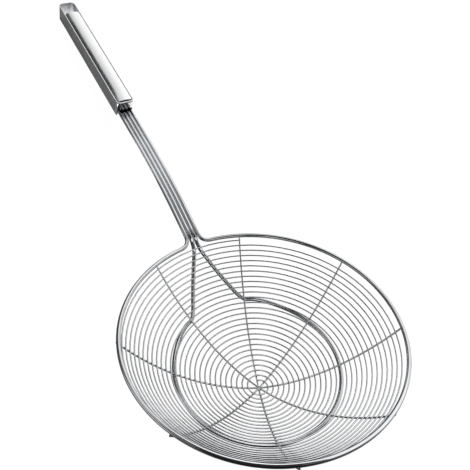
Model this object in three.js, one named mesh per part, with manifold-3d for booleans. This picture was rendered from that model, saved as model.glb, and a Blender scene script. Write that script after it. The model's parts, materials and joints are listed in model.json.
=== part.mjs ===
// A wire skimmer: a spiral basket on eight ribs, a thick rim, a ring under the ribs, a shaft of four
// wires and a hollow sheet-steel grip with a hanging slot. Millimetres, degrees, +Z up.
// The skimmer is drawn with its rim level and its handle along +Y, and is then laid down as it lies on
// a table: on the underside of the basket and on the lower edge of the grip's end.
import * as THREE from 'three';
import { mergeVertices } from 'three/addons/utils/BufferGeometryUtils.js';
import Module from 'manifold-3d';

// Wires
const frameWire = 3.0;            // diameter of the wire of rim, ring and shaft
const ribWire = 1.2;
const spiralWire = 0.9;
const weldGap = 0.3;              // clearance kept where one wire is welded to another
const shaftGap = 0.2;             // clearance between the four wires of the shaft

// Basket
const rimRadius = 93.5;           // rim circle, at the middle of the wire
const basketDepth = 57.7;         // lowest point of the ribs below the middle of the rim
const basketFullness = 0.92;      // 1 is a parabola, a smaller value has steeper sides
const poleSetback = 4.8;          // the ribs cross this far behind the rim's centre
const ribTipRoom = 0.2;           // the ribs stop this far short of the level of the rim
const spiralTurns = 27;
const spiralStart = 5.2;          // first turn's distance from the crossing of the ribs, along the ribs
const spiralInset = 0.2;          // last turn's distance inside the rim circle
const ringRadius = 56.8;          // where the ring crosses the ribs
const ringOffset = 3.0;           // the ring sits off centre, towards the handle
const ringOffsetBearing = -18.0;
const ringFlare = 2.4;            // the ring opens out this much where it meets its legs,
const ringFlareSpread = 22.0;     // over about this angle

// Bearings are degrees from the handle, anticlockwise seen from above, as the ribs were set by hand
const leftRibBearing = 21.6;
const rightRibBearing = -21.8;
const shortRibBearings = [67.3, 113.0, -114.6, -71.6];
const shortRibStart = 2.0;        // the short ribs butt against the crossing of the two long ones
const crossingSpread = 9.0;       // length over which the right rib dips under the left one

// Legs of the ring and shaft
const leftFootBearing = 18.0;     // where the legs meet the ring
const rightFootBearing = 339.2;
const legTopRadius = 91.5;        // where the legs leave the basket for the shaft
const legTopSpread = 2.8;         // half the distance between the legs there
const legTopShift = 1.8;          // the pair of legs leans this far to the right there
const legFootRoom = 3.5;          // room taken by the bend between ring and leg
const bendReach = 8.0;            // room taken by the bend between rim and shaft
const legBendReach = 8.0;         // room taken by the bend between leg and shaft
const rootTilt = 28.3;            // climb of the shaft at the rim
const gripTilt = 14.6;            // climb of the shaft at the grip
const shaftCurveLength = 102.6;   // the shaft straightens over this length

// Grip
const shaftLength = 132.8;        // from the rim to the mouth of the grip
const tangLength = 42.0;          // wires inside the grip
const gripLength = 134.2;
const gripHeight = 13.5;
const sheet = 0.7;
const wireRoom = 0.3;             // clearance beside the outer wires inside the grip
const fitGap = 0.3;               // clearance between the grip's own pieces
const endCornerRadius = 4.5;
const noseCornerRadius = 3.0;
const noseDepth = 5.0;
const mouthRoom = 1.6;            // clearance over the wires in the mouth
const mouthSideRoom = 0.2;        // clearance beside the wires in the mouth
const coverStart = 3.0;           // the covers reach from here, behind the mouth,
const coverEnd = 119.2;           // to here, and leave the hanging slot open
const coverCrown = 2.2;           // rise of a cover from its edges to its middle
const coverSink = 1.3;            // depth of a cover's edges below the edges of the band
const coverCornerRadius = 2.5;

// Facets
const frameSides = 8;
const thinSides = 6;
const arcSteps = 6;
const rimSteps = 64;
const ringSteps = 44;
const ribSteps = 14;

const wasm = await Module();
wasm.setup();

const radians = THREE.MathUtils.degToRad;
const lerp = THREE.MathUtils.lerp;

function steel(color, roughness) {
  return new THREE.MeshStandardMaterial({ color, roughness, metalness: 1 });
}

// Basket surface: the middle line of every rib, turned round the basket's axis.
// The ribs run up to the level of the rim at the mould radius, just outside the rim wire.
function profileHeight(radius, mould) {
  return -basketDepth * Math.max(1 - (radius / mould) ** 2, 0) ** basketFullness;
}

function rimClearance(mould) {
  let least = mould - rimRadius;
  for (let i = 0; i <= 200; i += 1) {
    const radius = lerp(0.8 * rimRadius, mould, i / 200);
    least = Math.min(least, Math.hypot(radius - rimRadius, profileHeight(radius, mould)));
  }
  return least;
}

const ribSeat = (frameWire + ribWire) / 2 + weldGap;

function seatedMouldRadius() {
  let low = rimRadius;
  let high = rimRadius + 10 * ribSeat;
  for (let i = 0; i < 40; i += 1) {
    const middle = (low + high) / 2;
    if (rimClearance(middle) < ribSeat) low = middle;
    else high = middle;
  }
  return high;
}

const mouldRadius = seatedMouldRadius();
const ribTipRadius = mouldRadius - ribTipRoom;

function profileSlope(radius) {
  const share = Math.max(1 - (radius / mouldRadius) ** 2, 1e-6);
  return basketDepth * basketFullness * share ** (basketFullness - 1) * 2 * radius / mouldRadius ** 2;
}

// A point of the basket at a radius and a bearing; lift is the distance above the ribs, negative below
function basketPoint(radius, bearing, lift) {
  const slope = profileSlope(radius);
  const normal = Math.hypot(1, slope);
  const reach = radius - lift * slope / normal;
  const turn = radians(bearing);
  const setback = poleSetback * Math.max(1 - radius / rimRadius, 0);
  return new THREE.Vector3(
    -reach * Math.sin(turn),
    reach * Math.cos(turn) - setback,
    profileHeight(radius, mouldRadius) + lift / normal,
  );
}

// Arc length along a rib, tabled so that a distance from the crossing gives a radius
const arcTable = [{ radius: 0, arc: 0 }];
for (let i = 1; i <= 400; i += 1) {
  const last = arcTable[i - 1];
  const radius = mouldRadius * i / 400;
  const rise = profileHeight(radius, mouldRadius) - profileHeight(last.radius, mouldRadius);
  arcTable.push({ radius, arc: last.arc + Math.hypot(radius - last.radius, rise) });
}

function lookUp(value, from, to) {
  const i = Math.max(arcTable.findIndex((row) => row[from] >= value), 1);
  const a = arcTable[i - 1];
  const b = arcTable[i];
  return lerp(a[to], b[to], (value - a[from]) / (b[from] - a[from]));
}

// A wire's steps follow its points, which lie closer together where it bends
class WirePath extends THREE.CatmullRomCurve3 {
  getUtoTmapping(u) {
    return u;
  }
}

function wireGeometry(points, diameter, sides) {
  const section = new THREE.Shape();
  for (let i = 0; i < sides; i += 1) {
    const turn = 2 * Math.PI * (i + 0.5) / sides;
    const corner = [diameter / 2 * Math.cos(turn), diameter / 2 * Math.sin(turn)];
    if (i === 0) section.moveTo(...corner);
    else section.lineTo(...corner);
  }
  section.closePath();
  return new THREE.ExtrudeGeometry(section, {
    steps: points.length - 1,
    extrudePath: new WirePath(points),
    bevelEnabled: false,
  });
}

// Shaft: an arc that leaves the rim steeply and straightens towards the grip
const curveRadius = shaftCurveLength / radians(rootTilt - gripTilt);
const shaftPitch = frameWire + shaftGap;
const innerWireX = shaftPitch / 2;
const outerWireX = 3 * shaftPitch / 2;

function shaftPoint(x, distance) {
  const curved = Math.min(distance, shaftCurveLength);
  const tilt = radians(rootTilt) - curved / curveRadius;
  const straight = distance - curved;
  return new THREE.Vector3(
    x,
    rimRadius + curveRadius * (Math.sin(radians(rootTilt)) - Math.sin(tilt)) + straight * Math.cos(tilt),
    curveRadius * (Math.cos(tilt) - Math.cos(radians(rootTilt))) + straight * Math.sin(tilt),
  );
}

// The points of one shaft wire, from its end inside the grip down to a distance from the rim
function shaftRun(x, lowest) {
  const points = [shaftPoint(x, shaftLength + tangLength)];
  const curveSteps = 8;
  for (let i = 0; i <= curveSteps; i += 1) {
    points.push(shaftPoint(x, lerp(shaftCurveLength, lowest, i / curveSteps)));
  }
  return points;
}

function mirrored(points) {
  return points.map((point) => new THREE.Vector3(-point.x, point.y, point.z)).reverse();
}

// Rim wire: a circle whose two ends bend out and become the outer wires of the shaft
function rimPoints() {
  const circleEndX = outerWireX + bendReach;
  const openBearing = Math.asin(circleEndX / rimRadius);
  const circleEnd = new THREE.Vector3(circleEndX, rimRadius * Math.cos(openBearing), 0);
  const corner = new THREE.Vector3(outerWireX, circleEnd.y + bendReach * Math.tan(openBearing), 0);
  const bend = new THREE.QuadraticBezierCurve3(shaftPoint(outerWireX, bendReach), corner, circleEnd);
  const side = [...shaftRun(outerWireX, bendReach), ...bend.getPoints(arcSteps).slice(1)];
  const circle = [];
  for (let i = 1; i < rimSteps; i += 1) {
    const turn = openBearing + (2 * Math.PI - 2 * openBearing) * i / rimSteps;
    circle.push(new THREE.Vector3(rimRadius * Math.sin(turn), rimRadius * Math.cos(turn), 0));
  }
  return [...side, ...circle, ...mirrored(side)];
}

// Ring wire: an open ring under the ribs with two legs that climb under the basket to the shaft
const ringLift = -ribSeat;

function ringRadiusAt(bearing) {
  const offset = ringOffset * Math.cos(radians(bearing - ringOffsetBearing));
  const nearFoot = (foot) => Math.exp(-(((bearing - foot) / ringFlareSpread) ** 2));
  return ringRadius + offset + ringFlare * (nearFoot(leftFootBearing) + nearFoot(rightFootBearing));
}

// A leg is straight seen from above and follows the underside of the basket from the shaft to the ring
function legPoints(footBearing) {
  const footRadius = ringRadiusAt(footBearing);
  const footX = -footRadius * Math.sin(radians(footBearing));
  const topX = legTopShift + Math.sign(footX) * legTopSpread;
  const lastShare = 1 - legFootRoom / (legTopRadius - footRadius);
  const points = [];
  const legSteps = 6;
  for (let i = 0; i <= legSteps; i += 1) {
    const share = lastShare * i / legSteps;
    const radius = lerp(legTopRadius, footRadius, share);
    const bearing = -THREE.MathUtils.radToDeg(Math.asin(lerp(topX, footX, share) / radius));
    points.push(basketPoint(radius, bearing, ringLift));
  }
  return points;
}

function ringPoints() {
  const ring = [];
  for (let i = 0; i <= ringSteps; i += 1) {
    const bearing = lerp(leftFootBearing, rightFootBearing, i / ringSteps);
    ring.push(basketPoint(ringRadiusAt(bearing), bearing, ringLift));
  }
  const left = [...shaftRun(-innerWireX, legBendReach), ...legPoints(leftFootBearing)];
  const right = [...shaftRun(innerWireX, legBendReach), ...legPoints(rightFootBearing)];
  return [...left, ...ring, ...right.reverse()];
}

// Long rib: from rim to rim through the crossing, lowered there by the dip
function longRibPoints(bearing, dip) {
  const points = [];
  for (let i = -ribSteps; i <= ribSteps; i += 1) {
    const radius = ribTipRadius * Math.abs(i) / ribSteps;
    const lift = -dip * Math.exp(-((radius / crossingSpread) ** 2));
    points.push(basketPoint(radius, i < 0 ? bearing + 180 : bearing, lift));
  }
  return points;
}

function shortRibPoints(bearing) {
  const points = [];
  for (let i = 0; i <= ribSteps; i += 1) {
    points.push(basketPoint(lerp(shortRibStart, ribTipRadius, i / ribSteps), bearing, 0));
  }
  return points;
}

// Spiral wire: equal steps outwards along the ribs, with a point on every rib that it crosses.
// It starts and ends on the right rib and widens clockwise seen from above.
const ribBearings = [
  leftRibBearing, leftRibBearing + 180, rightRibBearing, rightRibBearing + 180, ...shortRibBearings,
];
const spiralLift = (ribWire + spiralWire) / 2 + weldGap;
const spiralPitch = (lookUp(rimRadius - spiralInset, 'radius', 'arc') - spiralStart) / spiralTurns;

function stepsBetweenRibs(radius) {
  if (radius < 0.11 * rimRadius) return 1;
  if (radius < 0.38 * rimRadius) return 2;
  return 3;
}

function spiralPoints() {
  const clockwise = (bearing) => THREE.MathUtils.euclideanModulo(rightRibBearing - bearing, 360);
  const stops = ribBearings.map(clockwise).sort((a, b) => a - b);
  const points = [];
  const place = (turned) => {
    const radius = lookUp(spiralStart + spiralPitch * turned / 360, 'arc', 'radius');
    points.push(basketPoint(radius, rightRibBearing - turned, spiralLift));
    return radius;
  };
  let radius = place(0);
  for (let turn = 0; turn < spiralTurns; turn += 1) {
    stops.forEach((from, i) => {
      const to = i + 1 < stops.length ? stops[i + 1] : 360;
      const steps = stepsBetweenRibs(radius);
      for (let k = 1; k <= steps; k += 1) radius = place(360 * turn + lerp(from, to, k / steps));
    });
  }
  return points;
}

// Least gap between the spiral's turns: from each point to the chords at least half a turn further on
function leastGap(points, diameter) {
  let least = Infinity;
  const chord = new THREE.Line3();
  const nearest = new THREE.Vector3();
  points.forEach((point, i) => {
    for (let k = i + 4; k + 1 < points.length; k += 1) {
      chord.set(points[k], points[k + 1]);
      least = Math.min(least, chord.closestPointToPoint(point, true, nearest).distanceTo(point));
    }
  });
  return least - diameter;
}

// Solids for cutting and joining
function toSolid(geometry) {
  const bare = geometry.clone();
  bare.deleteAttribute('normal');
  bare.deleteAttribute('uv');
  const merged = mergeVertices(bare, 1e-4);
  return new wasm.Manifold(new wasm.Mesh({
    numProp: 3,
    vertProperties: new Float32Array(merged.attributes.position.array),
    triVerts: new Uint32Array(merged.index.array),
  }));
}

function toGeometry(solid) {
  const mesh = solid.getMesh();
  const geometry = new THREE.BufferGeometry();
  geometry.setAttribute('position', new THREE.BufferAttribute(mesh.vertProperties, 3));
  geometry.setIndex(new THREE.BufferAttribute(mesh.triVerts, 1));
  geometry.computeVertexNormals();
  return geometry;
}

// Grip, drawn from the middle of the shaft's row at the mouth: X across, Y along, Z up.
// The row of wires lies on the bottom cover, so the wires set the level of the grip.
const rowWidth = 3 * shaftPitch + frameWire;
const gripWidth = rowWidth + 2 * (wireRoom + sheet);
const coverHalf = gripWidth / 2 - sheet - fitGap;
const crownRadius = (coverHalf ** 2 + coverCrown ** 2) / (2 * coverCrown);
const innerCrownRadius = crownRadius - sheet;
const crownOut = coverCrown - coverSink;
const seatRadius = innerCrownRadius - frameWire / 2 - weldGap;
const rowAboveBottom = crownRadius - crownOut - Math.sqrt(seatRadius ** 2 - outerWireX ** 2);
const gripBottom = -rowAboveBottom;
const gripTop = gripBottom + gripHeight;

function extrudePlan(shape, bottom, height) {
  const geometry = new THREE.ExtrudeGeometry(shape, {
    depth: height,
    bevelEnabled: false,
    curveSegments: arcSteps,
  });
  return geometry.translate(0, 0, bottom);
}

// U of bent strip seen from above: it opens at the start and its corners are round
function stripPlan(openY, closedY, cornerRadius) {
  const way = Math.sign(closedY - openY);
  const plan = new THREE.Shape();
  const trace = (inset, begin) => {
    const half = gripWidth / 2 - inset;
    const round = cornerRadius - inset;
    const end = closedY - way * inset;
    const straight = [
      [-half, openY], [-half, end - way * round], [-half + round, end],
      [half - round, end], [half, end - way * round], [half, openY],
    ];
    const corners = [[-half, end], [half, end]];
    if (begin) {
      plan.moveTo(...straight[0]);
      plan.lineTo(...straight[1]);
      plan.quadraticCurveTo(...corners[0], ...straight[2]);
      plan.lineTo(...straight[3]);
      plan.quadraticCurveTo(...corners[1], ...straight[4]);
      plan.lineTo(...straight[5]);
      return;
    }
    plan.lineTo(...straight[5]);
    plan.lineTo(...straight[4]);
    plan.quadraticCurveTo(...corners[1], ...straight[3]);
    plan.lineTo(...straight[2]);
    plan.quadraticCurveTo(...corners[0], ...straight[1]);
    plan.lineTo(...straight[0]);
  };
  trace(0, true);
  trace(sheet, false);
  plan.closePath();
  return plan;
}

function bandGeometry() {
  return extrudePlan(stripPlan(noseDepth + fitGap, gripLength, endCornerRadius), gripBottom, gripHeight);
}

// Nose: the strip's mouth end, cut away below so that the four wires come out over the bottom cover
function noseGeometry() {
  const strip = extrudePlan(stripPlan(noseDepth, 0, noseCornerRadius), gripBottom, gripHeight);
  const mouthTop = frameWire / 2 + mouthRoom;
  const mouthHeight = 2 * (mouthTop - gripBottom);
  const mouthWidth = rowWidth + 2 * mouthSideRoom;
  const mouth = new THREE.BoxGeometry(mouthWidth, 2 * noseCornerRadius, mouthHeight);
  mouth.translate(0, 0, mouthTop - mouthHeight / 2);
  return toGeometry(toSolid(strip).subtract(toSolid(mouth)));
}

// Cover: a strip of sheet with a crowned section and rounded corners.
// The section stands with its edges at zero and is laid along the grip.
function coverSolid() {
  const section = new THREE.Shape();
  const spread = Math.asin(coverHalf / crownRadius);
  const centre = coverCrown - crownRadius;
  section.absarc(0, centre, crownRadius, Math.PI / 2 - spread, Math.PI / 2 + spread, false);
  section.absarc(0, centre, innerCrownRadius, Math.PI / 2 + spread, Math.PI / 2 - spread, true);
  section.closePath();
  const strip = new THREE.ExtrudeGeometry(section, {
    depth: coverEnd - coverStart,
    bevelEnabled: false,
    curveSegments: 2 * arcSteps,
  });
  strip.rotateX(Math.PI / 2).translate(0, coverEnd, 0);
  const plan = new THREE.Shape();
  const round = coverCornerRadius;
  const cornerX = coverHalf - round;
  plan.absarc(cornerX, coverStart + round, round, -Math.PI / 2, 0, false);
  plan.absarc(cornerX, coverEnd - round, round, 0, Math.PI / 2, false);
  plan.absarc(-cornerX, coverEnd - round, round, Math.PI / 2, Math.PI, false);
  plan.absarc(-cornerX, coverStart + round, round, Math.PI, 1.5 * Math.PI, false);
  plan.closePath();
  const outline = extrudePlan(plan, -2 * coverCrown, 4 * coverCrown);
  return toSolid(strip).intersect(toSolid(outline));
}

function topCoverGeometry() {
  return toGeometry(coverSolid()).translate(0, 0, gripTop - coverSink);
}

function bottomCoverGeometry() {
  const solid = coverSolid().mirror([0, 0, 1]);
  return toGeometry(solid).translate(0, 0, gripBottom + coverSink);
}

// Assembly with the rim level
const polished = 0.18;
const brushed = 0.34;
const skimmer = new THREE.Group();

function addPiece(parent, name, geometry, material) {
  const piece = new THREE.Mesh(geometry, material);
  piece.name = name;
  parent.add(piece);
}

addPiece(skimmer, 'rim_wire', wireGeometry(rimPoints(), frameWire, frameSides), steel('#c9cbcd', polished));
addPiece(skimmer, 'ring_wire', wireGeometry(ringPoints(), frameWire, frameSides), steel('#c4c6c8', polished));

const crossingDip = ribWire + weldGap;
const longRibs = [['rib_left', leftRibBearing, 0], ['rib_right', rightRibBearing, crossingDip]];
for (const [name, bearing, dip] of longRibs) {
  const points = longRibPoints(bearing, dip);
  addPiece(skimmer, name, wireGeometry(points, ribWire, thinSides), steel('#bfc1c3', polished));
}
shortRibBearings.forEach((bearing, i) => {
  const points = shortRibPoints(bearing);
  addPiece(skimmer, `rib_short_${i + 1}`, wireGeometry(points, ribWire, thinSides), steel('#bfc1c3', polished));
});

const spiral = spiralPoints();
addPiece(skimmer, 'spiral_wire', wireGeometry(spiral, spiralWire, thinSides), steel('#cfd1d3', polished));
console.log(`spiral: least gap between turns ${leastGap(spiral, spiralWire).toFixed(2)} mm`);

const grip = new THREE.Group();
grip.position.copy(shaftPoint(0, shaftLength));
grip.rotation.x = radians(gripTilt);
addPiece(grip, 'grip_band', bandGeometry(), steel('#8d8f92', brushed));
addPiece(grip, 'grip_nose', noseGeometry(), steel('#b4b6b8', polished));
addPiece(grip, 'grip_top_cover', topCoverGeometry(), steel('#e2e3e4', brushed));
addPiece(grip, 'grip_bottom_cover', bottomCoverGeometry(), steel('#e2e3e4', brushed));
skimmer.add(grip);

// Laid down: the tilt at which the basket and the end of the grip are equally low
function lowestPoint(objects, tilt) {
  const point = new THREE.Vector3();
  let lowest = Infinity;
  for (const object of objects) {
    object.traverse((piece) => {
      if (!piece.isMesh) return;
      const place = piece.geometry.attributes.position;
      for (let i = 0; i < place.count; i += 1) {
        point.fromBufferAttribute(place, i).applyMatrix4(piece.matrixWorld);
        lowest = Math.min(lowest, point.z * Math.cos(tilt) - point.y * Math.sin(tilt));
      }
    });
  }
  return lowest;
}

function restTilt() {
  skimmer.updateMatrixWorld(true);
  const basket = skimmer.children.filter((child) => child !== grip);
  let low = 0;
  let high = Math.PI / 3;
  for (let i = 0; i < 40; i += 1) {
    const middle = (low + high) / 2;
    if (lowestPoint([grip], middle) > lowestPoint(basket, middle)) low = middle;
    else high = middle;
  }
  return low;
}

const tilt = restTilt();
skimmer.rotation.x = -tilt;
skimmer.updateMatrixWorld(true);
const bounds = new THREE.Box3().setFromObject(skimmer, true);
const part = new THREE.Group();
part.position.set(-(bounds.min.x + bounds.max.x) / 2, -(bounds.min.y + bounds.max.y) / 2, -bounds.min.z);
part.add(skimmer);

export default part;
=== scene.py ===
import json

import bpy
import numpy as np
from mathutils import Matrix, Vector


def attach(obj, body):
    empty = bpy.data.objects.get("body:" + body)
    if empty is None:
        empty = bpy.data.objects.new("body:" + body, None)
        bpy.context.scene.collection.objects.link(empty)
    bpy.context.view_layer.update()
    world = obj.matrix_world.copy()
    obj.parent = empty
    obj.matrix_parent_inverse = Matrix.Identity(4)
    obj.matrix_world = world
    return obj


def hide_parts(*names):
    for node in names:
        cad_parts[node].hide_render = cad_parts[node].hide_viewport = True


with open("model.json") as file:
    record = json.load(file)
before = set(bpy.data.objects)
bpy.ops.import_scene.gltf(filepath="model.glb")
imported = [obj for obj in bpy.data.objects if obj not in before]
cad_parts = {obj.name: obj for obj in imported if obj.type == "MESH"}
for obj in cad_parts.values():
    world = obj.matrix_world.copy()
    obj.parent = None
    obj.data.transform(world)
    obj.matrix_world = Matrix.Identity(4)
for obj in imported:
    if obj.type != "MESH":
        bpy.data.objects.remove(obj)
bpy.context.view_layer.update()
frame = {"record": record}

# Rim wire
# One bright-drawn stainless wire, bent to the rim's circle. Both ends turn out in a small bend and run
# up side by side with the ring's wire as the two outer wires of the shaft. Sizes are in millimetres, in
# a frame with the rim level, its centre at zero and the handle along +Y; the skimmer is laid down last.
FRAME_WIRE = 3.0
RIM_RADIUS = 93.5
SHAFT_GAP = 0.2
SHAFT_PITCH = FRAME_WIRE + SHAFT_GAP
INNER_WIRE_X = SHAFT_PITCH / 2
OUTER_WIRE_X = 3 * SHAFT_PITCH / 2
RIM_BEND = 8.0
ROOT_TILT = np.radians(28.3)
GRIP_TILT = np.radians(14.6)
SHAFT_CURVE = 102.6
SHAFT_LENGTH = 132.8
TANG = 42.0
SHAFT_STEPS = 70
RIM_BEND_STEPS = 24
RIM_STEPS = 260
WIRE_SIDES = 20
CUT_CHAMFER = 0.14
SHARP_EDGE = np.radians(40)


def shaft_line(x, distance):
    """A shaft wire at a distance from the rim: a circular arc from the root's tilt to the grip's tilt,
    then straight."""
    distance = np.asarray(distance, float)
    curve_radius = SHAFT_CURVE / (ROOT_TILT - GRIP_TILT)
    curved = np.minimum(distance, SHAFT_CURVE)
    straight = distance - curved
    tilt = ROOT_TILT - curved / curve_radius
    along = RIM_RADIUS + curve_radius * (np.sin(ROOT_TILT) - np.sin(tilt)) + straight * np.cos(tilt)
    height = curve_radius * (np.cos(tilt) - np.cos(ROOT_TILT)) + straight * np.sin(tilt)
    return np.stack([np.full_like(along, x), along, height], -1)


def bend_between(start, corner, end, steps):
    """A quadratic curve from start to end that leaves and arrives along the two sides of the corner."""
    t = np.linspace(0, 1, steps)[:, None]
    return (1 - t) ** 2 * start + 2 * t * (1 - t) * corner + t ** 2 * end


def rim_path():
    """Middle line of the rim's wire: down one outer shaft wire, a bend, the circle up to its opening under
    the shaft, and the mirror image of the first side back up."""
    circle_end_x = OUTER_WIRE_X + RIM_BEND
    opening = np.arcsin(circle_end_x / RIM_RADIUS)
    circle_end = np.array([circle_end_x, RIM_RADIUS * np.cos(opening), 0])
    corner = np.array([OUTER_WIRE_X, circle_end[1] + RIM_BEND * np.tan(opening), 0])
    straight = shaft_line(OUTER_WIRE_X, np.linspace(SHAFT_LENGTH + TANG, RIM_BEND, SHAFT_STEPS))
    bend = bend_between(straight[-1], corner, circle_end, RIM_BEND_STEPS)
    side = np.concatenate([straight, bend[1:]])
    turn = np.linspace(opening, 2 * np.pi - opening, RIM_STEPS)[1:-1]
    circle = RIM_RADIUS * np.stack([np.sin(turn), np.cos(turn), np.zeros_like(turn)], -1)
    return np.concatenate([side, circle, side[::-1] * [-1, 1, 1]])


# The record's mount is the flat inside of the grip's end wall. Its axis gives the tilt at which the
# skimmer lies, and its place gives the shift from the level frame to the table.
GRIP_LENGTH = 134.2
GRIP_HEIGHT = 13.5
SHEET = 0.7
ROW_ABOVE_BOTTOM = 3.31
GRIP_BOTTOM = -ROW_ABOVE_BOTTOM
GRIP_TOP = GRIP_BOTTOM + GRIP_HEIGHT
MM = 0.001
slot_end = frame["record"]["mounts"][0]
lying_slope = np.arctan2(slot_end["axis"][2], -slot_end["axis"][1])
LYING_TILT = GRIP_TILT + lying_slope


def turn_about_x(points, angle):
    """Points turned about X by the right-hand rule."""
    x, y, z = np.moveaxis(np.asarray(points, float), -1, 0)
    return np.stack([x, y * np.cos(angle) - z * np.sin(angle), y * np.sin(angle) + z * np.cos(angle)], -1)


def in_grip(points):
    """From the grip's own frame (X across, Y along from the mouth, Z up) to the level frame."""
    return turn_about_x(points, GRIP_TILT) + shaft_line(0, SHAFT_LENGTH)


slot_end_level = in_grip([0, GRIP_LENGTH - SHEET, (GRIP_BOTTOM + GRIP_TOP) / 2])
table_shift = np.array(slot_end["pos_m"]) - turn_about_x(slot_end_level, -LYING_TILT) * MM


def lay_down(points):
    """From the level frame in millimetres to the table in metres."""
    return turn_about_x(points, -LYING_TILT) * MM + table_shift


def skin(name, rings, lengths):
    """A closed skin over rings that run along a piece. Ring i, point j joins its neighbours in quads; the
    two ends are closed by strips between the ring's two halves. U runs along the piece in metres, V round
    the ring."""
    count, around = rings.shape[:2]
    corner = np.arange(count * around).reshape(count, around)
    after = np.roll(corner, -1, axis=1)
    walls = np.stack([corner[:-1], after[:-1], after[1:], corner[1:]], -1).reshape(-1, 4)
    k = np.arange(around // 2 - 1)
    strip = np.stack([k, k + 1, around - 2 - k, around - 1 - k], -1)
    faces = np.concatenate([walls, corner[0][strip[:, ::-1]], corner[-1][strip]])
    mesh = bpy.data.meshes.new(name)
    mesh.vertices.add(count * around)
    mesh.vertices.foreach_set("co", lay_down(rings).astype(np.float32).ravel())
    mesh.loops.add(faces.size)
    mesh.loops.foreach_set("vertex_index", faces.ravel().astype(np.int32))
    mesh.polygons.add(len(faces))
    mesh.polygons.foreach_set("loop_start", np.arange(0, faces.size, 4, dtype=np.int32))
    mesh.polygons.foreach_set("use_smooth", np.ones(len(faces), bool))
    mesh.update(calc_edges=True)
    row, column = np.divmod(faces, around)
    share = column / around
    share[:len(walls)][:, [1, 2]] += np.where(share[:len(walls)][:, [1, 2]] == 0, 1, 0)
    layer = mesh.uv_layers.new(name="along")
    layer.data.foreach_set("uv", np.stack([lengths[row] * MM, share], -1).astype(np.float32).ravel())
    mesh.set_sharp_from_angle(angle=SHARP_EDGE)
    piece = bpy.data.objects.new(name, mesh)
    bpy.context.scene.collection.objects.link(piece)
    return piece


def run_lengths(path):
    """Distance along a path to each of its points."""
    return np.concatenate([[0], np.cumsum(np.linalg.norm(np.diff(path, axis=0), axis=1))])


def wire(name, path, diameter, sides):
    """A round wire along a path: a circle in the plane square to the path at each point, with its first
    axis level. The two cut ends have a small chamfer of 45 degrees."""
    chamfer = CUT_CHAMFER * diameter
    first = path[1] - path[0]
    last = path[-1] - path[-2]
    near_start = path[0] + chamfer * first / np.linalg.norm(first)
    near_end = path[-1] - chamfer * last / np.linalg.norm(last)
    path = np.concatenate([path[:1], [near_start], path[1:-1], [near_end], path[-1:]])
    along = np.gradient(path, axis=0)
    along /= np.linalg.norm(along, axis=1, keepdims=True)
    level = np.cross([0, 0, 1], along)
    level /= np.linalg.norm(level, axis=1, keepdims=True)
    upright = np.cross(along, level)
    radius = np.full(len(path), diameter / 2)
    radius[[0, -1]] -= chamfer
    turn = np.linspace(0, 2 * np.pi, sides, endpoint=False)
    circle = np.cos(turn)[:, None] * level[:, None] + np.sin(turn)[:, None] * upright[:, None]
    return skin(name, path[:, None] + radius[:, None, None] * circle, run_lengths(path))


def linear(code):
    """An sRGB hex colour as linear RGBA."""
    srgb = np.array([int(code[i:i + 2], 16) for i in (1, 3, 5)]) / 255
    light = np.where(srgb <= 0.04045, srgb / 12.92, ((srgb + 0.055) / 1.055) ** 2.4)
    return (*light, 1.0)


def add_node(tree, kind, feeds=None, **settings):
    """Adds a node with its settings. Each feed is a plain value or another node's output."""
    node = tree.nodes.new(kind)
    for name, value in settings.items():
        setattr(node, name, value)
    for name, value in (feeds or {}).items():
        if isinstance(value, bpy.types.NodeSocket):
            tree.links.new(value, node.inputs[name])
        else:
            node.inputs[name].default_value = value
    return node


def drawn_wire_steel(name, colour, dull_colour, diameter, polish):
    """Bright-drawn stainless wire, tumbled bright: a mirror finish with fine die lines along the wire and
    faint cloudy patches, so highlights break up lengthwise."""
    material = bpy.data.materials.new(name)
    material.use_nodes = True
    tree = material.node_tree
    shader = tree.nodes["Principled BSDF"]
    shader.inputs["Metallic"].default_value = 1.0
    along = add_node(tree, "ShaderNodeUVMap", uv_map="along")
    die_line_width = 0.12
    die_line_length = 20 * MM
    die_line_depth = 0.02 * MM
    lines_round = np.pi * diameter / die_line_width
    stretched = add_node(tree, "ShaderNodeMapping", {
        "Vector": along.outputs["UV"], "Scale": (1 / die_line_length, lines_round, 1.0)})
    die_lines = add_node(tree, "ShaderNodeTexNoise", {
        "Vector": stretched.outputs["Vector"], "Scale": 1.0, "Detail": 2.0})
    place = add_node(tree, "ShaderNodeTexCoord")
    patch_size = 9 * MM
    patches = add_node(tree, "ShaderNodeTexNoise", {
        "Vector": place.outputs["Object"], "Scale": 1 / patch_size, "Detail": 3.0})
    tint = add_node(tree, "ShaderNodeMix", {
        "Factor": patches.outputs["Fac"], "A": linear(colour), "B": linear(dull_colour)}, data_type="RGBA")
    tree.links.new(tint.outputs["Result"], shader.inputs["Base Color"])
    gloss = add_node(tree, "ShaderNodeMapRange", {
        "Value": patches.outputs["Fac"], "From Min": 0.3, "From Max": 0.7,
        "To Min": polish, "To Max": polish + 0.1})
    tree.links.new(gloss.outputs["Result"], shader.inputs["Roughness"])
    relief = add_node(tree, "ShaderNodeBump", {
        "Height": die_lines.outputs["Fac"], "Strength": 0.12, "Distance": die_line_depth})
    tree.links.new(relief.outputs["Normal"], shader.inputs["Normal"])
    return material


def finish_piece(piece, material, slot, *nodes):
    """Gives a piece its material, lets it ride on the skimmer and stand for its CAD nodes."""
    piece.data.materials.append(material)
    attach(piece, "root")
    if nodes:
        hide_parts(*nodes)


frame_wire_steel = drawn_wire_steel("polished_frame_wire", "#d7d9db", "#c3c5c8", FRAME_WIRE, 0.05)
rim = wire("rim_and_outer_shaft_wires", rim_path(), FRAME_WIRE, WIRE_SIDES)
finish_piece(rim, frame_wire_steel, "frame_wire", "rim_wire")

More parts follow.
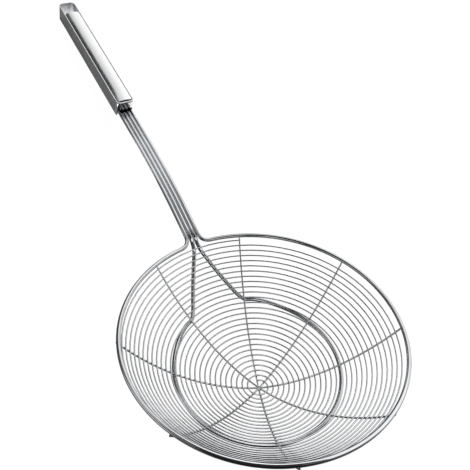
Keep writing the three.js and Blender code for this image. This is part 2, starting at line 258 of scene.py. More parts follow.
# Ring wire
# A second wire of the same gauge, bent to an open ring under the ribs. Its two legs climb under the
# basket, pass between the ends of the rim and run up as the two inner wires of the shaft.
RIB_WIRE = 1.2
WELD_GAP = 0.3
BASKET_DEPTH = 57.7
BASKET_FULLNESS = 0.92
POLE_SETBACK = 4.8
RIB_SEAT = (FRAME_WIRE + RIB_WIRE) / 2 + WELD_GAP
LEFT_RIB = 21.6
RIGHT_RIB = -21.8
RING_RADIUS = 56.8
RING_OFFSET = 3.0
RING_OFFSET_BEARING = -18.0
RING_FLARE = 2.4
RING_FLARE_SPREAD = 22.0
LEFT_FOOT = 18.0
RIGHT_FOOT = 339.2
LEG_TOP_RADIUS = 91.5
LEG_TOP_SPREAD = 2.8
LEG_TOP_SHIFT = 1.8
LEG_FOOT_ROOM = 3.5
LEG_BEND = 8.0
LEG_POINTS = 7
INNER_SHAFT_POINTS = 18
RING_POINTS = 60
RING_STEP = 1.0


def profile_height(radius, mould):
    """Height of the ribs' middle line: a power of a parabola that reaches the rim's level at the mould
    radius."""
    return -BASKET_DEPTH * np.maximum(1 - (radius / mould) ** 2, 0) ** BASKET_FULLNESS


def seated_mould_radius():
    """The mould radius at which the ribs pass the rim's wire at the seat's distance, by bisection."""
    low = RIM_RADIUS
    high = RIM_RADIUS + 10 * RIB_SEAT
    for _ in range(40):
        middle = (low + high) / 2
        radius = np.linspace(0.8 * RIM_RADIUS, middle, 400)
        clearance = np.hypot(radius - RIM_RADIUS, profile_height(radius, middle)).min()
        low, high = (middle, high) if clearance < RIB_SEAT else (low, middle)
    return high


MOULD_RADIUS = seated_mould_radius()


def on_basket(radius, bearing, lift):
    """Points at a radius and a bearing (degrees from the handle, anticlockwise seen from above), lifted
    off the ribs' middle line along the basket's normal; the crossing is set back from the rim's centre."""
    radius = np.asarray(radius, float)
    share = np.maximum(1 - (radius / MOULD_RADIUS) ** 2, 1e-6)
    power = share ** (BASKET_FULLNESS - 1)
    slope = BASKET_DEPTH * BASKET_FULLNESS * power * 2 * radius / MOULD_RADIUS ** 2
    normal = np.hypot(1, slope)
    reach = radius - lift * slope / normal
    turn = np.radians(bearing)
    setback = POLE_SETBACK * np.maximum(1 - radius / RIM_RADIUS, 0)
    height = profile_height(radius, MOULD_RADIUS) + lift / normal
    return np.stack([-reach * np.sin(turn), reach * np.cos(turn) - setback, height], -1)


def smooth_through(points, step):
    """A cubic through points, with slopes from their neighbours, cut into even steps."""
    place = run_lengths(points)
    slope = np.gradient(points, place, axis=0)
    fine = np.linspace(0, place[-1], int(place[-1] / step) + 1)
    i = np.clip(np.searchsorted(place, fine) - 1, 0, len(points) - 2)
    span = (place[i + 1] - place[i])[:, None]
    t = (fine - place[i])[:, None] / span
    return (points[i] * (1 + 2 * t) * (1 - t) ** 2 + points[i + 1] * t ** 2 * (3 - 2 * t)
            + span * slope[i] * t * (1 - t) ** 2 - span * slope[i + 1] * t ** 2 * (1 - t))


def ring_radius(bearing):
    """Radius of the ring at a bearing: a circle off the basket's axis, opened out towards its two feet."""
    bearing = np.mod(bearing, 360)
    offset = RING_OFFSET * np.cos(np.radians(bearing - RING_OFFSET_BEARING))
    left_flare = np.exp(-((bearing - LEFT_FOOT) / RING_FLARE_SPREAD) ** 2)
    right_flare = np.exp(-((bearing - RIGHT_FOOT) / RING_FLARE_SPREAD) ** 2)
    return RING_RADIUS + offset + RING_FLARE * (left_flare + right_flare)


def leg_line(foot_bearing):
    """A leg from the shaft to the ring: straight seen from above, following the basket's underside."""
    foot_radius = ring_radius(foot_bearing)
    foot_x = -foot_radius * np.sin(np.radians(foot_bearing))
    top_x = LEG_TOP_SHIFT + np.sign(foot_x) * LEG_TOP_SPREAD
    share = np.linspace(0, 1 - LEG_FOOT_ROOM / (LEG_TOP_RADIUS - foot_radius), LEG_POINTS)
    radius = LEG_TOP_RADIUS + (foot_radius - LEG_TOP_RADIUS) * share
    bearing = -np.degrees(np.arcsin((top_x + (foot_x - top_x) * share) / radius))
    return on_basket(radius, bearing, -RIB_SEAT)


def ring_path():
    """Middle line of the ring's wire: down an inner shaft wire and its leg, round the ring under the ribs,
    and back up the other leg, smoothed into one curve."""
    shaft = np.linspace(SHAFT_LENGTH + TANG, LEG_BEND, INNER_SHAFT_POINTS)
    left = np.concatenate([shaft_line(-INNER_WIRE_X, shaft), leg_line(LEFT_FOOT)])
    right = np.concatenate([shaft_line(INNER_WIRE_X, shaft), leg_line(RIGHT_FOOT)])
    bend = np.degrees(LEG_FOOT_ROOM / RING_RADIUS) / 2
    bearing = np.linspace(LEFT_FOOT + bend, RIGHT_FOOT - bend, RING_POINTS)
    ring = on_basket(ring_radius(bearing), bearing, -RIB_SEAT)
    return smooth_through(np.concatenate([left, ring, right[::-1]]), RING_STEP)


ring = wire("ring_legs_and_inner_shaft_wires", ring_path(), FRAME_WIRE, WIRE_SIDES)
finish_piece(ring, frame_wire_steel, "frame_wire", "ring_wire")

# Ribs
# Four thinner wires of the same steel, bent over a mould and crossing at the lowest point of the basket.
# Their tips stand just outside the rim, where they are welded to it. Two of them stop at the crossing and
# start again behind it, because round wires can't share one point.
RIB_TIP_ROOM = 1.3
RIB_TIP_RADIUS = MOULD_RADIUS - RIB_TIP_ROOM
SHORT_RIBS = [67.3, 113.0, -114.6, -71.6]
SHORT_RIB_START = 0.9
CROSSING_SPREAD = 9.0
CROSSING_DIP = RIB_WIRE + WELD_GAP
RIB_STEPS = 80
RIB_SIDES = 12
rib_steel = drawn_wire_steel("bright_rib_wire", "#d8dadc", "#c2c4c7", RIB_WIRE, 0.1)


def long_rib_path(bearing, dip):
    """A rib from rim to rim; near the crossing it is lowered by a bell-shaped dip."""
    reach = np.linspace(-RIB_TIP_RADIUS, RIB_TIP_RADIUS, 2 * RIB_STEPS + 1)
    lift = -dip * np.exp(-(reach / CROSSING_SPREAD) ** 2)
    return on_basket(np.abs(reach), np.where(reach < 0, bearing + 180, bearing), lift)


for name, node, bearing, dip in [
    ("long_rib_left", "rib_left", LEFT_RIB, 0),
    ("long_rib_right", "rib_right", RIGHT_RIB, CROSSING_DIP),
]:
    rib = wire(name, long_rib_path(bearing, dip), RIB_WIRE, RIB_SIDES)
    finish_piece(rib, rib_steel, "rib_wire", node)

for number, bearing in enumerate(SHORT_RIBS, start=1):
    reach = np.linspace(SHORT_RIB_START, RIB_TIP_RADIUS, RIB_STEPS + 1)
    rib = wire(f"short_rib_{number}", on_basket(reach, bearing, 0), RIB_WIRE, RIB_SIDES)
    finish_piece(rib, rib_steel, "rib_wire", f"rib_short_{number}")

# Spiral
# One thin wire wound over the ribs in even turns, from just beside their crossing to just under the rim.
# It starts and ends on the right rib, widens clockwise seen from above and is welded to every rib.
SPIRAL_WIRE = 1.0
SPIRAL_TURNS = 27
SPIRAL_START = 5.2
SPIRAL_INSET = 0.2
SPIRAL_LIFT = (RIB_WIRE + SPIRAL_WIRE) / 2 + WELD_GAP
STEPS_PER_TURN = 72
SPIRAL_SIDES = 10
ARC_STEPS = 2000
spiral_steel = drawn_wire_steel("bright_spiral_wire", "#d6d8da", "#c2c4c7", SPIRAL_WIRE, 0.06)

rib_radius = np.linspace(0, MOULD_RADIUS, ARC_STEPS)
rib_arc = run_lengths(np.stack([rib_radius, profile_height(rib_radius, MOULD_RADIUS)], -1))
spiral_end = np.interp(RIM_RADIUS - SPIRAL_INSET, rib_radius, rib_arc)
SPIRAL_PITCH = (spiral_end - SPIRAL_START) / SPIRAL_TURNS


def spiral_radius(turns):
    """Radius after a number of turns: equal steps of arc along the ribs."""
    return np.interp(SPIRAL_START + SPIRAL_PITCH * turns, rib_arc, rib_radius)


turns = np.linspace(0, SPIRAL_TURNS, SPIRAL_TURNS * STEPS_PER_TURN + 1)
spiral_path = on_basket(spiral_radius(turns), RIGHT_RIB - 360 * turns, SPIRAL_LIFT)
spiral = wire("spiral_wire_basket", spiral_path, SPIRAL_WIRE, SPIRAL_SIDES)
finish_piece(spiral, spiral_steel, "spiral_wire", "spiral_wire")

# Weld spots
# Resistance welds: where two wires cross they were pressed together hot, and a small bead of the same
# steel stands out on both sides. The beads are a little bluer and duller than the wire, and painted paler:
# a painted highlight for the bright glint where the spiral crosses a rib. A bead's sizes are half lengths:
# along the rib or rim, along the wire that crosses it, and through both.
BEAD_WIDTH = 1.0
SPIRAL_BEAD = np.array([0.62, 0.7, 0.5])
RING_BEAD = np.array([1.1, 0.8, 0.5])
RIM_BEAD = np.array([0.55, 0.6, 0.4])
CROSSING_BEAD = np.array([2.0, 2.0, 1.1])
RIM_BEAD_PLACE = 0.75
RIB_RUN_AT_RIM = 0.5
RIB_RISE_AT_RIM = 0.86
# The beads' pale colour is a painted highlight at the crossings, not the welds' own tint.
weld_steel_painted_pale = drawn_wire_steel("weld_beads", "#e8e9ec", "#c4c6ca", BEAD_WIDTH, 0.32)


def beads(name, centres, first, second, sizes):
    """Ellipsoids at the centres: a grid of latitude and longitude on a ball, stretched along two given
    directions and their normal, in one mesh."""
    first = first / np.linalg.norm(first, axis=-1, keepdims=True)
    third = np.cross(first, second)
    third /= np.linalg.norm(third, axis=-1, keepdims=True)
    second = np.cross(third, first)
    rings, around = 5, 8
    latitude = np.linspace(-np.pi / 2, np.pi / 2, rings + 2)[1:-1, None]
    longitude = np.linspace(0, 2 * np.pi, around, endpoint=False)[None]
    flat = np.cos(latitude)
    ball = np.stack([flat * np.cos(longitude), flat * np.sin(longitude),
                     np.sin(latitude) * np.ones_like(longitude)], -1).reshape(-1, 3)
    ball = np.concatenate([ball, [[0, 0, -1], [0, 0, 1]]]) * sizes
    axes = np.stack([first, second, third], 1)
    points = centres[:, None] + ball @ axes
    corner = np.arange(rings * around).reshape(rings, around)
    after = np.roll(corner, -1, axis=1)
    walls = np.stack([corner[:-1], after[:-1], after[1:], corner[1:]], -1).reshape(-1, 4)
    bottom = np.stack([np.full(around, rings * around), after[0], corner[0]], -1)
    top = np.stack([np.full(around, rings * around + 1), corner[-1], after[-1]], -1)
    step = (np.arange(len(centres)) * len(ball))[:, None, None]
    quads = (walls[None] + step).reshape(-1, 4).tolist()
    caps = (np.concatenate([bottom, top])[None] + step).reshape(-1, 3).tolist()
    mesh = bpy.data.meshes.new(name)
    mesh.from_pydata(lay_down(points.reshape(-1, 3)).tolist(), [], quads + caps)
    mesh.polygons.foreach_set("use_smooth", np.ones(len(mesh.polygons), bool))
    mesh.uv_layers.new(name="along")
    piece = bpy.data.objects.new(name, mesh)
    bpy.context.scene.collection.objects.link(piece)
    finish_piece(piece, weld_steel_painted_pale, "spiral_wire")


def crossing_beads(name, radius, bearing, lift, sizes):
    """Beads on the basket, stretched along the rib and along the wire that crosses it."""
    step = 0.05
    centres = on_basket(radius, bearing, lift)
    outward = on_basket(radius + step, bearing, lift) - centres
    sideways = on_basket(radius, bearing + step, lift) - centres
    beads(name, centres, outward, sideways, sizes)


RIB_BEARINGS = np.array([LEFT_RIB, LEFT_RIB + 180, RIGHT_RIB, RIGHT_RIB + 180, *SHORT_RIBS])
behind_start = np.mod(RIGHT_RIB - RIB_BEARINGS, 360) / 360
crossing_turns = (np.arange(SPIRAL_TURNS) + behind_start[:, None]).ravel()
crossing_bearing = np.repeat(RIB_BEARINGS, SPIRAL_TURNS)
crossing_beads("spiral_weld_beads", spiral_radius(crossing_turns), crossing_bearing,
               (RIB_WIRE + WELD_GAP) / 2, SPIRAL_BEAD)
crossing_beads("ring_weld_beads", ring_radius(RIB_BEARINGS), RIB_BEARINGS,
               -(RIB_WIRE + WELD_GAP) / 2, RING_BEAD)
pole = np.array([[0.0, -POLE_SETBACK, -BASKET_DEPTH - CROSSING_DIP / 2]])
beads("crossing_weld", pole, np.array([[1.0, 0, 0]]), np.array([[0, 1.0, 0]]), CROSSING_BEAD)
off_rim = RIM_BEAD_PLACE * FRAME_WIRE / 2
rim_at_rib = RIM_RADIUS + off_rim
rib_turn = np.radians(RIB_BEARINGS)
rim_contact = np.stack([-rim_at_rib * np.sin(rib_turn), rim_at_rib * np.cos(rib_turn),
                        np.full(len(rib_turn), -off_rim)], -1)
round_rim = np.stack([np.cos(rib_turn), np.sin(rib_turn), np.zeros(len(rib_turn))], -1)
up_rib = np.stack([-RIB_RUN_AT_RIM * np.sin(rib_turn), RIB_RUN_AT_RIM * np.cos(rib_turn),
                   np.full(len(rib_turn), RIB_RISE_AT_RIM)], -1)
beads("rim_weld_beads", rim_contact, round_rim, up_rib, RIM_BEAD)

# Grip band
# A strip of stainless sheet bent to a long U: the two walls and the rounded end of the grip. It was
# brushed lengthwise before bending, so it looks darker than the covers and streaked along the grip.
ROW_WIDTH = 3 * SHAFT_PITCH + FRAME_WIRE
WIRE_ROOM = 0.3
GRIP_WIDTH = ROW_WIDTH + 2 * (WIRE_ROOM + SHEET)
FIT_GAP = 0.3
NOSE_DEPTH = 5.0
END_CORNER = 4.5
WALL_STEPS = 30
CORNER_STEPS = 14
CLOSING_STEPS = 25
EDGE_ROUND = 0.14
EDGE_STEPS = 5
WALL_LEVELS = 16
LOWEST_LEVEL = 0.02
HIGHEST_LEVEL = 0.85


def strip_plan(open_y, closed_y, corner):
    """Middle line of a U of bent strip seen from above: a straight wall, a round corner, the closing wall
    and the same back. It runs along the left wall first."""
    way = np.sign(closed_y - open_y)
    half = GRIP_WIDTH / 2 - SHEET / 2
    end = closed_y - way * SHEET / 2
    turn = corner - SHEET / 2
    wall = np.stack([np.full(WALL_STEPS, -half), np.linspace(open_y, end - way * turn, WALL_STEPS)], -1)
    bend = bend_between(wall[-1], np.array([-half, end]), np.array([turn - half, end]), CORNER_STEPS)
    side = np.concatenate([wall, bend[1:]])
    across = np.linspace(turn - half, half - turn, CLOSING_STEPS)[1:-1]
    closing = np.stack([across, np.full(len(across), end)], -1)
    return np.concatenate([side, closing, side[::-1] * [-1, 1]])


def strip_skin(name, plan, bottom, top, lip=0.0):
    """A strip standing on its edge along a plan: at each point a tall rounded rectangle, as thick as the
    sheet, between the bottom and top heights there, with levels that lie closer towards the top. A lip
    rolls the top over to the plan's left in a quarter of a circle of that radius."""
    along = np.gradient(plan, axis=0)
    along /= np.linalg.norm(along, axis=1, keepdims=True)
    left = np.stack([-along[:, 1], along[:, 0]], -1)
    quarter = np.linspace(0, np.pi / 2, EDGE_STEPS)
    inset = EDGE_ROUND * (1 - np.sin(quarter))
    drop = EDGE_ROUND * (1 - np.cos(quarter))
    edge = np.zeros(EDGE_STEPS)
    wall = np.zeros(WALL_LEVELS)
    offset = SHEET / 2 - np.concatenate([inset, wall, inset[::-1]])
    from_bottom = np.concatenate([drop, wall, edge])
    from_top = np.concatenate([edge, wall, drop[::-1]])
    closer_to_top = 1 - (1 - np.linspace(LOWEST_LEVEL, HIGHEST_LEVEL, WALL_LEVELS)) ** 2
    share = np.concatenate([edge, closer_to_top, edge + 1])
    offset = np.concatenate([offset, -offset[::-1]])
    share = np.concatenate([share, share[::-1]])
    shift = np.concatenate([from_bottom - from_top, (from_bottom - from_top)[::-1]])
    bottom = np.broadcast_to(bottom, len(plan))[:, None]
    top = np.broadcast_to(top, len(plan))[:, None]
    height = bottom + (top - bottom) * share + shift
    lip = np.maximum(np.broadcast_to(lip, len(plan)), 1e-6)[:, None]
    into_lip = np.clip(1 - (top - height) / lip, 0, 1)
    rolled = lip * (1 - np.sqrt(1 - into_lip ** 2))
    flat = plan[:, None] + (offset + rolled)[..., None] * left[:, None]
    rings = np.concatenate([flat, height[..., None]], -1)
    return skin(name, in_grip(rings), run_lengths(plan))


STRIP_POINTS = 2 * (2 * EDGE_STEPS + WALL_LEVELS)
TOP_EDGE_MIDDLE = (STRIP_POINTS - 1) / 2 / STRIP_POINTS
TOP_EDGE_HALF = (EDGE_STEPS - 0.5) / STRIP_POINTS
# The painted highlight along the strip's top edge: how far it reaches and its near-white colour.
EDGE_HIGHLIGHT_REACH = 1.15
EDGE_HIGHLIGHT_PAINT = "#f4f5f6"


def brushed_sheet_steel(name, colour, streak_colour, polish, scratch, painted_edge_highlight=0.0, coarse=1):
    """Stainless sheet brushed along the grip: long fine scratches that spread highlights across the grain.
    Real scratches are about 0.05 mm wide; they are drawn 0.3 mm wide, or coarser, so that they show. With
    a painted edge highlight the top edge of the strip is painted near white, standing in for the light it
    catches."""
    material = bpy.data.materials.new(name)
    material.use_nodes = True
    tree = material.node_tree
    shader = tree.nodes["Principled BSDF"]
    shader.inputs["Metallic"].default_value = 1.0
    place = add_node(tree, "ShaderNodeTexCoord")
    grip_slope = GRIP_TILT - LYING_TILT
    level = add_node(tree, "ShaderNodeMapping", {
        "Vector": place.outputs["Object"], "Rotation": (-grip_slope, 0, 0)}, vector_type="TEXTURE")
    scratch_width = 0.3 * coarse * MM
    scratch_length = 22 * coarse * MM
    scratch_depth = 0.03 * MM
    grain = add_node(tree, "ShaderNodeMapping", {
        "Vector": level.outputs["Vector"],
        "Scale": (1 / scratch_width, 1 / scratch_length, 1 / scratch_width)})
    scratches = add_node(tree, "ShaderNodeTexNoise", {
        "Vector": grain.outputs["Vector"], "Scale": 1.0, "Detail": 3.0, "Roughness": 0.6})
    patch_size = 20 * MM
    patches = add_node(tree, "ShaderNodeTexNoise", {
        "Vector": place.outputs["Object"], "Scale": 1 / patch_size, "Detail": 2.0})
    tint = add_node(tree, "ShaderNodeMix", {
        "Factor": scratches.outputs["Fac"], "A": linear(colour), "B": linear(streak_colour)},
        data_type="RGBA")
    surface = tint.outputs["Result"]
    # Painted highlight: the top edge is painted near white for the light it catches, not worn bright.
    if painted_edge_highlight:
        round_strip = add_node(tree, "ShaderNodeSeparateXYZ", {
            "Vector": add_node(tree, "ShaderNodeUVMap", uv_map="along").outputs["UV"]})
        off_edge = add_node(tree, "ShaderNodeMath", {
            0: round_strip.outputs["Y"], 1: TOP_EDGE_MIDDLE}, operation="SUBTRACT")
        from_edge = add_node(tree, "ShaderNodeMath", {0: off_edge.outputs["Value"]}, operation="ABSOLUTE")
        edge_highlight_mask = add_node(tree, "ShaderNodeMapRange", {
            "Value": from_edge.outputs["Value"], "From Min": TOP_EDGE_HALF,
            "From Max": EDGE_HIGHLIGHT_REACH * TOP_EDGE_HALF, "To Min": painted_edge_highlight, "To Max": 0.0})
        edge_highlighted = add_node(tree, "ShaderNodeMix", {
            "Factor": edge_highlight_mask.outputs["Result"], "A": surface, "B": linear(EDGE_HIGHLIGHT_PAINT)}, data_type="RGBA")
        surface = edge_highlighted.outputs["Result"]
    tree.links.new(surface, shader.inputs["Base Color"])
    gloss = add_node(tree, "ShaderNodeMapRange", {
        "Value": patches.outputs["Fac"], "From Min": 0.3, "From Max": 0.7,
        "To Min": polish, "To Max": polish + 0.08})
    tree.links.new(gloss.outputs["Result"], shader.inputs["Roughness"])
    relief = add_node(tree, "ShaderNodeBump", {
        "Height": scratches.outputs["Fac"], "Strength": scratch, "Distance": scratch_depth})
    tree.links.new(relief.outputs["Normal"], shader.inputs["Normal"])
    return material


# The band's top edges carry the painted highlight, a light line along each wall.
band_steel = brushed_sheet_steel("brushed_grip_band", "#e6e8ea", "#5c5e62", 0.3, 0.35, painted_edge_highlight=1.0,
                                 coarse=4)
band = strip_skin("grip_side_band", strip_plan(NOSE_DEPTH + FIT_GAP, GRIP_LENGTH, END_CORNER),
                  GRIP_BOTTOM, GRIP_TOP)
finish_piece(band, band_steel, "grip_band", "grip_band")

# Grip nose
# The mouth end of the grip: the same strip bent round the front with tighter corners and polished. Its
# top rolls in to a lip, its lower corners are rounded, and its front wall is cut away below, where the
# four shaft wires go in.
NOSE_CORNER = 3.0
NOSE_LIP = 0.7
LIP_START = 0.8
LIP_GROWTH = 2.0
NOSE_CHIN = 2.2
MOUTH_ROOM = 1.6
MOUTH_TOP = FRAME_WIRE / 2 + MOUTH_ROOM
MOUTH_SIDE_ROOM = 0.2
MOUTH_HALF = ROW_WIDTH / 2 + MOUTH_SIDE_ROOM
MOUTH_BLEND = 0.5

nose_plan = strip_plan(NOSE_DEPTH, 0, NOSE_CORNER)
cut_blend = np.clip((MOUTH_HALF - np.abs(nose_plan[:, 0])) / MOUTH_BLEND, 0, 1)
cut_blend = cut_blend ** 2 * (3 - 2 * cut_blend) * (nose_plan[:, 1] < NOSE_CORNER)
from_front = np.clip(nose_plan[:, 1] - SHEET / 2, 0, NOSE_CHIN)
chin_rise = NOSE_CHIN - np.sqrt(NOSE_CHIN ** 2 - (NOSE_CHIN - from_front) ** 2)
nose_bottom = GRIP_BOTTOM + np.maximum(chin_rise, (MOUTH_TOP - GRIP_BOTTOM) * cut_blend)
nose_steel = brushed_sheet_steel("polished_grip_nose", "#d8dadc", "#c2c4c7", 0.05, 0.03)
nose_lip = NOSE_LIP * np.clip((NOSE_DEPTH - LIP_START - nose_plan[:, 1]) / LIP_GROWTH, 0, 1)
nose = strip_skin("grip_mouth_nose", nose_plan, nose_bottom, GRIP_TOP, nose_lip)
finish_piece(nose, nose_steel, "grip_nose", "grip_nose")

# Grip covers
# Two strips of bright satin sheet, pressed to a crown and let in between the walls: the top one almost
# level with their edges, the bottom one a little deeper, where the wires lie on it. Both stop short of the
# grip's end, so that the hanging slot goes right through.
COVER_START = 2.1
COVER_END = 119.2
COVER_CORNER = 2.5
SHOULDER = 0.6
SHOULDER_DROP = 0.3
SIDE_GAP = 0.08
COVER_HALF = GRIP_WIDTH / 2 - SHEET - SIDE_GAP
TOP_CROWN = 1.3
TOP_SINK = 0.2
BOTTOM_CROWN = 2.2
BOTTOM_SINK = 1.3
COVER_END_STEPS = 9
COVER_LENGTH_STEPS = 60
COVER_WIDTH_STEPS = 49


def cover_rings(edge, crown, way):
    """A crowned strip along the grip: its outer and inner faces are two circular arcs across the grip, at
    the edge's height plus the crown towards the way (1 up, -1 down), with a quarter of an ellipse rolled
    down at each shoulder. Its plan has round corners."""
    crown_radius = (COVER_HALF ** 2 + crown ** 2) / (2 * crown)
    ends = COVER_CORNER * (1 - np.cos(np.linspace(0, np.pi / 2, COVER_END_STEPS)))
    between = np.linspace(COVER_START + COVER_CORNER, COVER_END - COVER_CORNER, COVER_LENGTH_STEPS)[1:-1]
    along = np.concatenate([COVER_START + ends, between, COVER_END - ends[::-1]])
    to_end = np.minimum(np.minimum(along - COVER_START, COVER_END - along), COVER_CORNER)
    narrowing = COVER_CORNER - np.sqrt(COVER_CORNER ** 2 - (COVER_CORNER - to_end) ** 2)
    across = np.sin(np.linspace(-np.pi / 2, np.pi / 2, COVER_WIDTH_STEPS))
    x = (COVER_HALF - narrowing)[:, None] * across
    outer = crown - crown_radius + np.sqrt(crown_radius ** 2 - x ** 2)
    inner_radius = crown_radius - SHEET
    inner_x = x * inner_radius / crown_radius
    inner = crown - crown_radius + np.sqrt(inner_radius ** 2 - inner_x ** 2)
    over_shoulder = np.clip((np.abs(x) - COVER_HALF + SHOULDER) / SHOULDER, 0, 1)
    roll = SHOULDER_DROP * (1 - np.sqrt(1 - over_shoulder ** 2))
    outer = outer - roll
    inner = inner - roll
    y = np.broadcast_to(along[:, None], x.shape)
    top = np.stack([x, y, edge + way * outer], -1)
    under = np.stack([inner_x, y, edge + way * inner], -1)
    rings = np.concatenate([under[:, ::-1], top], axis=1)
    return rings if way > 0 else rings[:, ::-1], along


cover_steel = brushed_sheet_steel("satin_grip_cover", "#fafafb", "#eff0f1", 0.16, 0.1)
for name, node, edge, crown, way in [
    ("grip_bottom_crown", "grip_bottom_cover", GRIP_BOTTOM + BOTTOM_SINK, BOTTOM_CROWN, -1),
    ("grip_top_crown", "grip_top_cover", GRIP_TOP - TOP_SINK, TOP_CROWN, 1),
]:
    rings, along = cover_rings(edge, crown, way)
    cover = skin(name, in_grip(rings), along)
    finish_piece(cover, cover_steel, "grip_cover", node)

# Studio
# A white floor and a tent of soft panels: bright behind, above and to the right of the skimmer, dark on
# the photographer's side, so that the wires show bright cores with dark edges. The steel doesn't reflect
# the floor; the cards further down stand for the table that it sees.
FLOOR_HALF = 30.0


def glowing_paint(name, colour, glow):
    """A plain paint that also gives off white light. Returns it and its shader."""
    paint = bpy.data.materials.new(name)
    paint.use_nodes = True
    shader = paint.node_tree.nodes["Principled BSDF"]
    shader.inputs["Base Color"].default_value = linear(colour)
    shader.inputs["Emission Color"].default_value = linear("#ffffff")
    shader.inputs["Emission Strength"].default_value = glow
    return paint, shader


def flat_sheet(name, corners, paint):
    """A flat sheet of the stage through the corners, in metres on the table's frame."""
    mesh = bpy.data.meshes.new(name)
    mesh.from_pydata(corners, [], [list(range(len(corners)))])
    mesh.materials.append(paint)
    sheet = bpy.data.objects.new(name, mesh)
    bpy.context.scene.collection.objects.link(sheet)
    return sheet


floor_paint, floor_shader = glowing_paint("pale_floor_paint", "#5a5a5a", 0.95)
floor_shader.inputs["Roughness"].default_value = 0.9
floor_shader.inputs["Specular IOR Level"].default_value = 0.0
floor = flat_sheet("floor", [(-FLOOR_HALF, -FLOOR_HALF, 0), (FLOOR_HALF, -FLOOR_HALF, 0),
                             (FLOOR_HALF, FLOOR_HALF, 0), (-FLOOR_HALF, FLOOR_HALF, 0)], floor_paint)
floor.visible_glossy = False

world = bpy.data.worlds.new("light_tent")
world.use_nodes = True
bpy.context.scene.world = world
tent = world.node_tree
tent.nodes.clear()
direction = add_node(tent, "ShaderNodeTexCoord")


def tent_panel(light_so_far, azimuth, elevation, inner, outer, strength):
    """Adds a soft-edged panel to the tent: full inside the inner angle from its middle, gone at the outer
    one. Azimuth runs from +Y towards +X."""
    azimuth, elevation = np.radians([azimuth, elevation])
    level = np.cos(elevation)
    middle = (np.sin(azimuth) * level, np.cos(azimuth) * level, np.sin(elevation))
    nearness = add_node(tent, "ShaderNodeVectorMath", {
        0: direction.outputs["Generated"], 1: middle}, operation="DOT_PRODUCT")
    glow = add_node(tent, "ShaderNodeMapRange", {
        "Value": nearness.outputs["Value"], "From Min": np.cos(np.radians(outer)),
        "From Max": np.cos(np.radians(inner)), "To Min": 0.0, "To Max": strength},
        interpolation_type="SMOOTHSTEP")
    total = add_node(tent, "ShaderNodeMath", {0: light_so_far, 1: glow.outputs["Result"]}, operation="ADD")
    return total.outputs["Value"]


plain_tent = 0.14
right_wall = tent_panel(plain_tent, 80, 20, 34, 60, 0.9)
back_softbox = tent_panel(right_wall, -30, 42, 5, 18, 0.75)
back_card = tent_panel(back_softbox, 26, 38, 14, 33, 0.52)
open_top = tent_panel(back_card, 5, 74, 16, 40, 0.35)
dark_back = tent_panel(open_top, -10, 6, 8, 24, -0.12)
dark_front = tent_panel(dark_back, -150, 25, 28, 50, -0.13)
tent_glow = tent_panel(dark_front, 0, -90, 62, 96, -0.06)
tent_light = add_node(tent, "ShaderNodeBackground", {"Color": (1, 1, 1, 1), "Strength": tent_glow})
white_sweep = add_node(tent, "ShaderNodeBackground", {"Color": (1, 1, 1, 1), "Strength": 1.0})
ray = add_node(tent, "ShaderNodeLightPath")
seen = add_node(tent, "ShaderNodeMixShader", {
    0: ray.outputs["Is Camera Ray"], 1: tent_light.outputs["Background"],
    2: white_sweep.outputs["Background"]})
add_node(tent, "ShaderNodeOutputWorld", {"Surface": seen.outputs["Shader"]})

softbox = bpy.data.lights.new("overhead_softbox", "AREA")
softbox.shape = "DISK"
softbox.size = 1.6
softbox.energy = 22.0
softbox_stand = bpy.data.objects.new("overhead_softbox", softbox)
softbox_stand.location = (0.7, 0.9, 1.8)
softbox_stand.visible_glossy = False
to_skimmer = Vector((0, 0, 0)) - softbox_stand.location
softbox_stand.rotation_euler = to_skimmer.to_track_quat("-Z", "Y").to_euler()
bpy.context.scene.collection.objects.link(softbox_stand)

# Camera
# The photograph's close-up view, fitted to the skimmer: place and aim in the level frame, in millimetres,
# and the lens that gives its perspective on a square picture.
CAMERA_PLACE = np.array([-172.1, -197.0, 305.0])
CAMERA_AIM = np.array([31.6, 89.0, 0.0])
CAMERA_ROLL = np.radians(6.22)
FOCAL_PIXELS = 610.0
PICTURE_PIXELS = 470.0
ahead = CAMERA_AIM - CAMERA_PLACE
ahead /= np.linalg.norm(ahead)
level_right = np.cross(ahead, [0, 0, 1])
level_right /= np.linalg.norm(level_right)
level_up = np.cross(level_right, ahead)
right = np.cos(CAMERA_ROLL) * level_right + np.sin(CAMERA_ROLL) * level_up
up = np.cross(right, ahead)
camera_turn = turn_about_x(np.stack([right, up, -ahead]), -LYING_TILT).T
camera_data = bpy.data.cameras.new("photograph_view")
camera_data.sensor_width = 36.0
camera_data.lens = camera_data.sensor_width * FOCAL_PIXELS / PICTURE_PIXELS
camera_data.clip_start = 0.01
camera = bpy.data.objects.new("photograph_view", camera_data)
camera.matrix_world = Matrix.Translation(lay_down(CAMERA_PLACE)) @ Matrix(camera_turn.tolist()).to_4x4()
bpy.context.scene.collection.objects.link(camera)
bpy.context.scene.camera = camera
bpy.context.scene.view_settings.view_transform = "Standard"

# Cards
# Flat cards that only the steel sees, as reflections. Some stand for bright and dark parts of the table,
# some hang over the basket and the grip, and a dark disc stands for the photographer. Places are in
# millimetres on the table's frame: X across, Y towards the grip and the height above the table.
WHITE_CARD = "#ffffff"
GREY_CARD = "#808080"
BLACK_CARD = "#1c1c1d"
FADE_START = 0.45


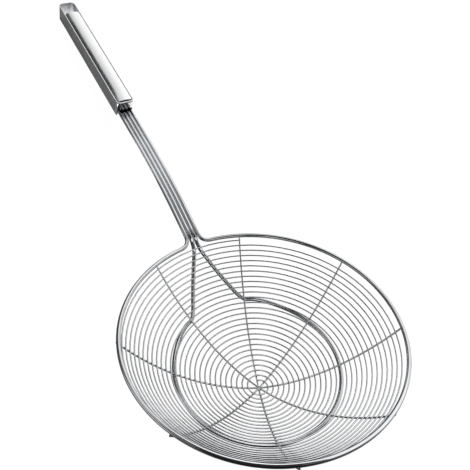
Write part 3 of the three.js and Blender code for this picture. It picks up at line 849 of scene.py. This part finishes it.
def card(name, corners, colour, glow, fade=None):
    """A card through the corners, in metres; it isn't seen and casts no shadow. With a fade its glow grows
    evenly along X, from under half at the first place to full at the second."""
    paint, shader = glowing_paint(name, colour, glow)
    piece = flat_sheet(name, corners.tolist(), paint)
    piece.visible_camera = False
    piece.visible_diffuse = False
    piece.visible_shadow = False
    if fade:
        tree = paint.node_tree
        place = add_node(tree, "ShaderNodeTexCoord")
        parts = add_node(tree, "ShaderNodeSeparateXYZ", {"Vector": place.outputs["Object"]})
        growth = add_node(tree, "ShaderNodeMapRange", {
            "Value": parts.outputs["X"], "From Min": fade[0] * MM, "From Max": fade[1] * MM,
            "To Min": FADE_START * glow, "To Max": glow})
        tree.links.new(growth.outputs["Result"], shader.inputs["Emission Strength"])


def level_card(name, outline, height, colour, glow, fade=None):
    """A level card with an outline of (X, Y) places."""
    card(name, MM * np.array([(x, y, height) for x, y in outline]), colour, glow, fade)


def rectangle(x_low, x_high, y_low, y_high):
    """Outline of a rectangle between two X and two Y places."""
    return [(x_low, y_low), (x_high, y_low), (x_high, y_high), (x_low, y_high)]


DISC_RADIUS = 200.0
DISC_DROP = 100.0
DISC_CORNERS = 48
disc_turn = np.linspace(0, 2 * np.pi, DISC_CORNERS, endpoint=False)[:, None]
disc_edge = DISC_RADIUS * (np.cos(disc_turn) * right + np.sin(disc_turn) * up)
card("photographer", lay_down(CAMERA_PLACE - DISC_DROP * up + disc_edge), BLACK_CARD, 0.0)
level_card("bright_table_patch", rectangle(-7, 90, 50, 235), 0.3, WHITE_CARD, 0.5)
level_card("grey_table_patch", [(-44, 70), (-8, 70), (-8, 250), (-26, 250)], 0.3, GREY_CARD, 0.11)
level_card("bright_table_before_nose", rectangle(-60, -35, 40, 90), 0.4, GREY_CARD, 2.2)
level_card("dark_table_before_nose", rectangle(-35, -9, 36, 82), 0.4, BLACK_CARD, 0.0)
level_card("bright_card_over_grip", rectangle(-2, 130, 176, 480), 100, GREY_CARD, 0.8, fade=(-2, 70))
level_card("dark_card_over_grip", [(-200, 150), (-50, 150), (-2, 182), (-2, 480), (-200, 480)], 100,
           BLACK_CARD, 0.01)
level_card("bright_table_under_slot", rectangle(-6, 6, 186, 219), 0.5, GREY_CARD, 1.4)
level_card("bright_table_under_shaft", rectangle(-10, 20, 0, 66), 0.3, GREY_CARD, 0.9)
level_card("bright_card_over_near_side", rectangle(-4, 150, -245, -160), 150, GREY_CARD, 1.2)
level_card("bright_card_in_near_side", [(-48, -184), (-8, -191), (-8, -135), (-64, -135)], 104,
           GREY_CARD, 2.0)
level_card("bright_card_before_mouth", rectangle(25, 62, -2, 32), 150, GREY_CARD, 1.5)
level_card("pale_table_left_of_grip", rectangle(-90, -46, 70, 260), 0.3, GREY_CARD, 0.28)
level_card("dark_card_over_far_side", rectangle(30, 88, -95, -18), 90, BLACK_CARD, 0.02)
card("bright_card_left_of_basket", MM * np.array([
    [-280, -190, 5], [-280, 60, 5], [-280, 60, 120], [-280, -190, 120]]), GREY_CARD, 0.55)
level_card("dark_card_over_basket", [
    (-140, -235), (40, -235), (40, -115), (-45, -98), (-80, -20), (-140, -20)], 200, BLACK_CARD, 0.01)
